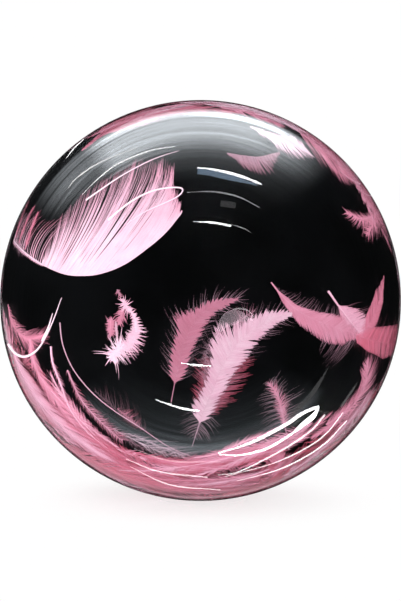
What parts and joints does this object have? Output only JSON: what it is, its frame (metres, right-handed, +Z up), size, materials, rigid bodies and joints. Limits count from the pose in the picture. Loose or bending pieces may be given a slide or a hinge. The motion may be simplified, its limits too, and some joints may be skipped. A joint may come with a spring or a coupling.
{
  "type": "clear bubble balloon",
  "caption": "Round clear film balloon filled with pink feathers round a black inner balloon, sealed by a flat tab on its neck.",
  "frame": {"origin": "middle of the small flat spot that the balloon rests on, straight under the ball's centre", "axes": "+Z up, +Y towards the back, where the neck points; -Y is the side that the picture shows"},
  "size_m": [0.45, 0.5103, 0.448],
  "materials": {
    "clear_film": "clear, glossy stretch film",
    "black_latex": "smooth, dark, slightly shiny latex",
    "pink_feather": "dyed feather vanes and down"
  },
  "bodies": {
    "root": {"bubble_balloon": "clear_film"}
  },
  "joints": []
}
